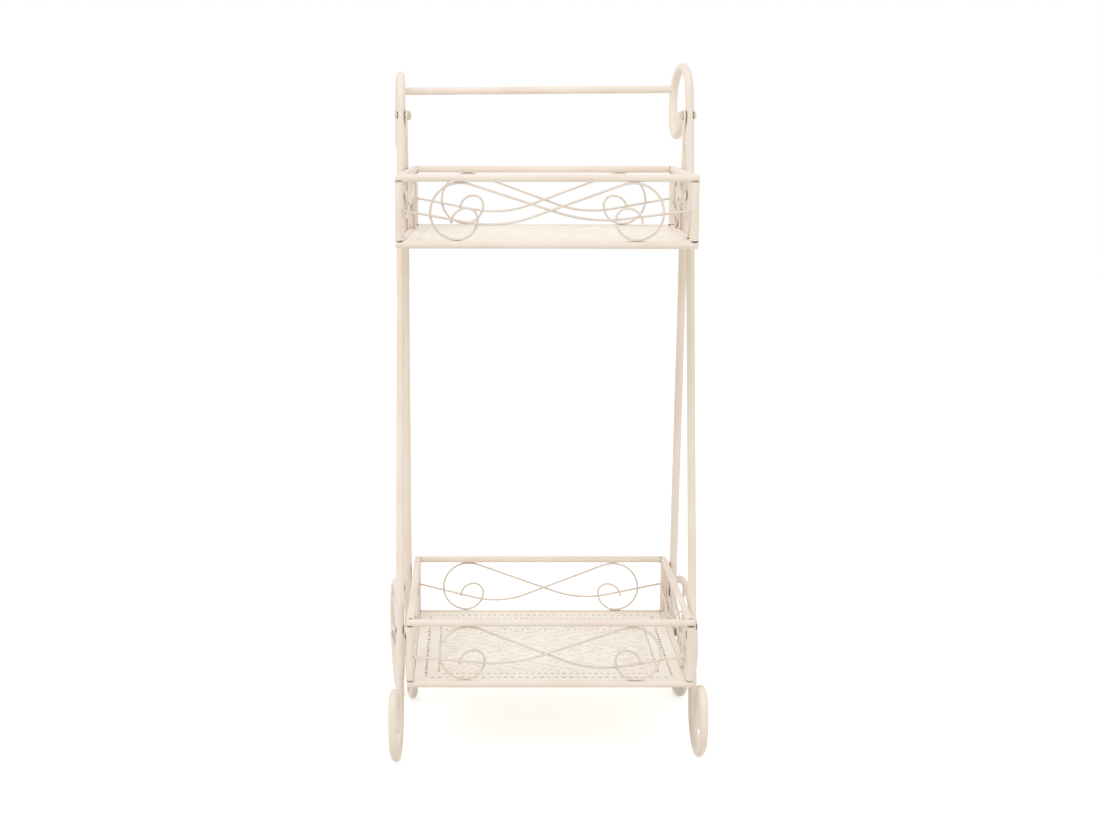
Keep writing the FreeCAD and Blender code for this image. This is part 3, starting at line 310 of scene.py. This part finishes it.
DASH_DEPTH = 0.9 * MM
DASH_PITCH = 6.4 * MM       # from one row of dashes to the next
DASH_LENGTH = 31.0 * MM     # a pressed dash and the bridge to the next
DASH_LEVEL = 0.6            # how much of a row is pressed
DASH_SWING = 0.9            # how steeply a dash ends
WAVER = 0.16                # how far a row wanders, as a share of the pitch
WAVER_LENGTH = 53.0 * MM
ROW_SHIFT = 12.99           # sets each row of dashes off from the one before
FADE = 3.0 * MM             # the dashes run out over this at the edge of their field
STEP_X = 2.6 * MM           # mesh steps of the dashed field
STEP_Y = 1.3 * MM
OUTER_ROW = 14.5 * MM       # middle of the outer row of holes from the sheet's edge
INNER_ROW = 30.0 * MM
CROSS_ROW = 68.0 * MM       # the row across the back half, from the tray's middle
ROW_WIDTH = 8.0 * MM
OUTER_PITCH = 9.0 * MM
INNER_PITCH = 8.0 * MM
OUTER_HOLE = (2.4 * MM, 1.5 * MM)   # half length along the row and half width
INNER_HOLE = (2.1 * MM, 1.4 * MM)
LIP = 1.8 * MM              # how far a hole's drawn edge hangs under the sheet
LIP_WALL = 0.45 * MM
LIP_SPREAD = 1.3            # the lip's foot against its wall
RIM_DROP = 0.3 * MM         # rounding from the sheet into the hole
HOLE_SIZES = (0.78, 1.15)   # holes come out smaller and larger by these shares
HOLE_STRAY = 0.4 * MM       # each hole is punched a little off its place
HOLE_TURNS = 16
STEEPEST_FACE = 0.4         # faces with less of their normal upright are hole walls
wear = np.random.default_rng(7)


def hole_wall_shade():
    """Inside of a punched hole, brown to pale cream in patches as painted shade."""
    material, tree, place = new_material("painted_shade_in_punched_hole_walls")
    patch = spread(tree, noise(tree, place, 7.0, 3.0), 0.35, 0.65)
    tone = blend(tree, patch, colour("#A08358"), colour("#E3D6BC"))
    relief = bump(tree, noise(tree, place, 0.8), 0.05, 0.6)
    return finish_material(material, tree, {"Roughness": 0.65}, {"Base Color": tone, "Normal": relief})


def flat_patch(x0, x1, y0, y1):
    """Both faces of a plain rectangle of sheet."""
    corners = [(x0, y0), (x1, y0), (x1, y1), (x0, y1)]
    top = [(x, y, 0.0) for x, y in corners]
    under = [(x, y, -SHEET_THICK) for x, y in corners]
    return np.array(top + under), np.array([[0, 1, 2, 3], [7, 6, 5, 4]])


def dashed_patch(x0, x1, y0, y1):
    """Both faces of a rectangle pressed with rows of short dashes that fade at its edges."""
    xs = np.linspace(x0, x1, round((x1 - x0) / STEP_X))
    ys = np.linspace(y0, y1, round((y1 - y0) / STEP_Y))
    y, x = np.meshgrid(ys, xs, indexing="ij")
    row = y / DASH_PITCH + WAVER * np.sin(2 * np.pi * x / WAVER_LENGTH + y / ROW_WIDTH)
    furrow = np.sin(np.pi * row) ** 2
    shift = np.sin(np.floor(row) * ROW_SHIFT)
    dash = np.clip(DASH_LEVEL + DASH_SWING * np.sin(2 * np.pi * (x / DASH_LENGTH + shift)), 0, 1)
    edge = np.minimum(np.minimum(x - x0, x1 - x), np.minimum(y - y0, y1 - y)) / FADE
    z = -DASH_DEPTH * furrow * dash * np.clip(edge, 0, 1)
    top = np.stack([x, y, z], axis=-1).reshape(-1, 3)
    under = top - [0, 0, SHEET_THICK]
    quads = grid_faces(len(ys), len(xs))
    return np.concatenate([top, under]), np.concatenate([quads, quads[:, ::-1] + len(top)])


def hole_rings(half_x, half_y, hole_x, hole_y):
    """Rings of points round one hole, from the cell's top edge through the lip to its underside."""
    angle = 2 * np.pi * np.arange(HOLE_TURNS) / HOLE_TURNS
    turn = np.stack([np.cos(angle), np.sin(angle)], axis=1)
    square = turn / np.abs(turn).max(axis=1, keepdims=True) * [half_x, half_y]
    oval = turn * [hole_x, hole_y]
    wall = turn * LIP_WALL
    lip_end = -SHEET_THICK - LIP
    return [
        (square, 0.0),
        (oval + wall, 0.0),
        (oval, -RIM_DROP),
        (oval, lip_end),
        (oval + wall, lip_end),
        (oval + wall * LIP_SPREAD, -SHEET_THICK),
        (square, -SHEET_THICK),
    ]


def punched_cells(centres, half_x, half_y, hole_x, hole_y):
    """Rectangles of sheet, each with an oval hole whose edge is drawn down into a lip."""
    rings = hole_rings(half_x, half_y, hole_x, hole_y)
    cell = np.concatenate([np.column_stack([ring, np.full(HOLE_TURNS, z)]) for ring, z in rings])
    faces = []
    for ring in range(len(rings) - 1):
        low, high = ring * HOLE_TURNS, (ring + 1) * HOLE_TURNS
        for k in range(HOLE_TURNS):
            following = (k + 1) % HOLE_TURNS
            faces.append([low + k, low + following, high + following, high + k])
    hole = slice(HOLE_TURNS, HOLE_TURNS * (len(rings) - 1))
    patches = []
    for x, y in centres:
        moved = cell.copy()
        size = wear.uniform(*HOLE_SIZES, 2)
        moved[hole, :2] = moved[hole, :2] * size + wear.uniform(-1, 1, 2) * HOLE_STRAY
        patches.append((moved + [x, y, 0.0], np.array(faces)))
    return join(patches)


def cell_line(length, pitch):
    """Middles of cells that fill a length from end to end, and half the width of one."""
    count = round(length / pitch)
    width = length / count
    return -length / 2 + width * (np.arange(count) + 0.5), width / 2


def punched_ring(inset, pitch, hole):
    """A ring of punched cells round the sheet, with plain corners."""
    reach_x = SHEET_HALF_X - inset
    reach_y = SHEET_HALF_Y - inset
    half = ROW_WIDTH / 2
    long_way, wide_way = hole
    along_x, half_x = cell_line(2 * (reach_x - half), pitch)
    along_y, half_y = cell_line(2 * (reach_y - half), pitch)
    patches = []
    for way in (-1, 1):
        line = [(x, way * reach_y) for x in along_x]
        patches.append(punched_cells(line, half_x, half, long_way, wide_way))
        line = [(way * reach_x, y) for y in along_y]
        patches.append(punched_cells(line, half, half_y, wide_way, long_way))
        for up in (-1, 1):
            x, y = way * reach_x, up * reach_y
            patches.append(flat_patch(x - half, x + half, y - half, y + half))
    return patches


def plain_band(inset_out, inset_in):
    """The plain frame of sheet between two insets from its edge."""
    x_out, x_in = SHEET_HALF_X - inset_out, SHEET_HALF_X - inset_in
    y_out, y_in = SHEET_HALF_Y - inset_out, SHEET_HALF_Y - inset_in
    return [
        flat_patch(-x_out, x_out, -y_out, -y_in),
        flat_patch(-x_out, x_out, y_in, y_out),
        flat_patch(-x_out, -x_in, -y_in, y_in),
        flat_patch(x_in, x_out, -y_in, y_in),
    ]


def sheet_edge(start, end):
    """The cut edge of the sheet between two corners, with the sheet on its left."""
    points = [(*start, -SHEET_THICK), (*end, -SHEET_THICK), (*end, 0.0), (*start, 0.0)]
    return np.array(points), np.array([[0, 1, 2, 3]])


def sheet_patches():
    """Every patch of one floor, from its edge to the dashed middle."""
    half = ROW_WIDTH / 2
    field_x = SHEET_HALF_X - INNER_ROW - half
    field_y = SHEET_HALF_Y - INNER_ROW - half
    patches = plain_band(0.0, OUTER_ROW - half)
    patches += punched_ring(OUTER_ROW, OUTER_PITCH, OUTER_HOLE)
    patches += plain_band(OUTER_ROW + half, INNER_ROW - half)
    patches += punched_ring(INNER_ROW, INNER_PITCH, INNER_HOLE)
    patches.append(dashed_patch(-field_x, field_x, -field_y, CROSS_ROW - half))
    cells, half_x = cell_line(2 * field_x, INNER_PITCH)
    patches.append(punched_cells([(x, CROSS_ROW) for x in cells], half_x, half, *INNER_HOLE))
    patches.append(dashed_patch(-field_x, field_x, CROSS_ROW + half, field_y))
    x, y = SHEET_HALF_X, SHEET_HALF_Y
    edges = [((x, -y), (x, y)), ((-x, y), (-x, -y)), ((x, y), (-x, y)), ((-x, -y), (x, -y))]
    for start, end in edges:
        patches.append(sheet_edge(start, end))
    return patches


def floor_sheet(level):
    """The floor of one tray, with painted shade on its hole walls and a mark on what is pressed in, for
    painted shade in the dashes.
    """
    points, faces = join(sheet_patches())
    sheet = mesh_object(f"{level}_floor_sheet", points, faces, sheet_coat, TRAYS[level])
    sheet.data.materials.append(hole_shade_coat)
    for face in sheet.data.polygons:
        if abs(face.normal.z) < STEEPEST_FACE:
            face.material_index = 1
    # How deep each point is pressed: the mask for painted shade in the dashes.
    height = points[:, 2]
    depth = np.clip(-height / DASH_DEPTH, 0, 1) * (height > -SHEET_THICK)
    groove = sheet.data.attributes.new("groove", "FLOAT", "POINT")
    groove.data.foreach_set("value", depth)
    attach(sheet, "frame")
    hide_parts(f"{level}_floor_panel")


hole_shade_coat = hole_wall_shade()
for tray_level in TRAYS:
    floor_sheet(tray_level)


# ---------------------------------------------------------------- open seams at the tray corners
# Where a cut post or rail end meets the round side of another rail, a thin seam stays open. The
# powder reaches into it in places only, so it shows cream to black: bare steel, and painted shade in
# the gap.

lower_top, lower_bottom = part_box("lower_top_front_rail"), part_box("lower_bottom_front_rail")
posts_low, posts_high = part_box("lower_corner_posts")
RAIL_RADIUS = (lower_top[1].z - lower_top[0].z) / 2
RAIL_SPACING = lower_top[0].z - lower_bottom[0].z
FLOOR_RISE = TRAYS["lower"].translation.z - (lower_bottom[0].z + RAIL_RADIUS)
POST_X = (posts_high.x - posts_low.x) / 2 - RAIL_RADIUS
POST_Y = (posts_high.y - posts_low.y) / 2 - RAIL_RADIUS
SEAM_INSET = 0.25 * MM      # how far the seam's middle lies inside the cut end's rim
SEAM_RADIUS = RAIL_RADIUS - SEAM_INSET
SEAM_THICK = 0.55 * MM
SEAM_AROUND = 40            # mesh steps round the seam and round its section
SEAM_ACROSS = 8


def seam_material():
    material, tree, place = new_material("open_seam_bare_steel_and_painted_shade")
    patch = spread(tree, noise(tree, place, 14.0, 3.0), 0.38, 0.52)
    # Near black to cream in patches: painted shade in the open gap, and bare steel.
    tone = blend(tree, patch, colour("#2B2018"), colour("#D9CBB8"))
    relief = bump(tree, noise(tree, place, 0.7), 0.1, 0.8)
    return finish_material(material, tree, {"Roughness": 0.7}, {"Base Color": tone, "Normal": relief})


def seam_ring(centre, axis):
    """A thin round ring about an axis."""
    turn = 2 * np.pi * np.arange(SEAM_AROUND) / SEAM_AROUND
    small = 2 * np.pi * np.arange(SEAM_ACROSS) / SEAM_ACROSS
    axis = np.asarray(axis, float)
    first = np.cross(axis, [0.3, 0.5, 0.8])     # any direction off the axis will do
    first /= np.linalg.norm(first)
    second = np.cross(axis, first)
    outwards = np.cos(turn)[:, None] * first + np.sin(turn)[:, None] * second
    reach = SEAM_RADIUS + SEAM_THICK * np.cos(small)
    lift = SEAM_THICK * np.sin(small)
    points = outwards[:, None, :] * reach[None, :, None] + axis * lift[None, :, None]
    faces = []
    for i in range(SEAM_AROUND):
        a, b = i * SEAM_ACROSS, ((i + 1) % SEAM_AROUND) * SEAM_ACROSS
        for j in range(SEAM_ACROSS):
            following = (j + 1) % SEAM_ACROSS
            faces.append([a + j, b + j, b + following, a + following])
    return points.reshape(-1, 3) + np.asarray(centre), np.array(faces)


def corner_seams(level):
    """Seams at both ends of the posts, the front ends of the side rails and the back rails' ends."""
    bottom = -FLOOR_RISE
    top = bottom + RAIL_SPACING
    patches = []
    for x_way in (-1, 1):
        for y_way in (-1, 1):
            for z in (bottom + RAIL_RADIUS, top - RAIL_RADIUS):
                patches.append(seam_ring((x_way * POST_X, y_way * POST_Y, z), (0, 0, 1)))
        for z in (bottom, top):
            patches.append(seam_ring((x_way * POST_X, RAIL_RADIUS - POST_Y, z), (0, 1, 0)))
            patches.append(seam_ring((x_way * (POST_X - RAIL_RADIUS), POST_Y, z), (1, 0, 0)))
    points, faces = join(patches)
    seams = mesh_object(f"{level}_corner_seams", points, faces, seam, TRAYS[level])
    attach(seams, "frame")


seam = seam_material()
for tray_level in TRAYS:
    corner_seams(tray_level)


# ---------------------------------------------------------------- floor, background and light
# A white studio: a wide soft light from the upper left front and an even white surround.

FLOOR_HALF = 6.0
FLOOR_GLOW = 0.55           # lifts the lit floor to white and leaves a faint shadow
SURROUND_LIGHT = 0.86


def seen_directly(tree):
    """1 on rays from the camera, from a gloss or through glass."""
    ray = add(tree, "ShaderNodeLightPath").outputs
    seen = ray["Is Camera Ray"]
    for kind in ("Is Glossy Ray", "Is Transmission Ray"):
        links = {0: seen, 1: ray[kind]}
        seen = add(tree, "ShaderNodeMath", None, links, operation="MAXIMUM").outputs[0]
    return seen


def either(tree, amount, first, second):
    """The first shader, and the second where the amount is 1."""
    links = {0: amount, 1: first.outputs[0], 2: second.outputs[0]}
    return add(tree, "ShaderNodeMixShader", None, links).outputs[0]


def floor_white():
    """White to the camera, with shadows kept, and a plain pale surface to everything else."""
    material, tree, _ = new_material("white_studio_floor")
    matt = add(tree, "ShaderNodeBsdfDiffuse", {"Color": colour("#E8E6E2")})
    glow = add(tree, "ShaderNodeEmission", {"Color": colour("#FFFFFF"), "Strength": FLOOR_GLOW})
    both = add(tree, "ShaderNodeAddShader", None, {0: matt.outputs[0], 1: glow.outputs[0]})
    surface = either(tree, seen_directly(tree), matt, both)
    add(tree, "ShaderNodeOutputMaterial", None, {"Surface": surface})
    return material


def white_world():
    """Soft light from all round, and plain white where it is seen."""
    world = bpy.data.worlds.new("white_surround")
    world.use_nodes = True
    tree = world.node_tree
    tree.nodes.clear()
    light = add(tree, "ShaderNodeBackground", {"Color": colour("#FFFDFA"), "Strength": SURROUND_LIGHT})
    white = add(tree, "ShaderNodeBackground", {"Color": colour("#FFFFFF"), "Strength": 1.0})
    surface = either(tree, seen_directly(tree), light, white)
    add(tree, "ShaderNodeOutputWorld", None, {"Surface": surface})
    return world


def soft_lamp(name, place, target, size, power):
    """Large square lamp that faces a point."""
    data = bpy.data.lights.new(name, "AREA")
    data.size = size
    data.energy = power
    lamp = bpy.data.objects.new(name, data)
    lamp.location = place
    lamp.rotation_euler = (Vector(target) - Vector(place)).to_track_quat("-Z", "Y").to_euler()
    scene.collection.objects.link(lamp)


floor_corners = [(x * FLOOR_HALF, y * FLOOR_HALF, 0) for x, y in ((-1, -1), (1, -1), (1, 1), (-1, 1))]
floor = mesh_object("studio_floor", floor_corners, [[0, 1, 2, 3]], floor_white())
scene.world = white_world()
soft_lamp("key", place=(-1.5, -1.6, 3.0), target=(0, 0, 0.3), size=2.0, power=26.0)
soft_lamp("fill", place=(2.2, -1.6, 1.4), target=(0, 0, 0.4), size=1.6, power=5.0)
scene.view_settings.view_transform = "Standard"
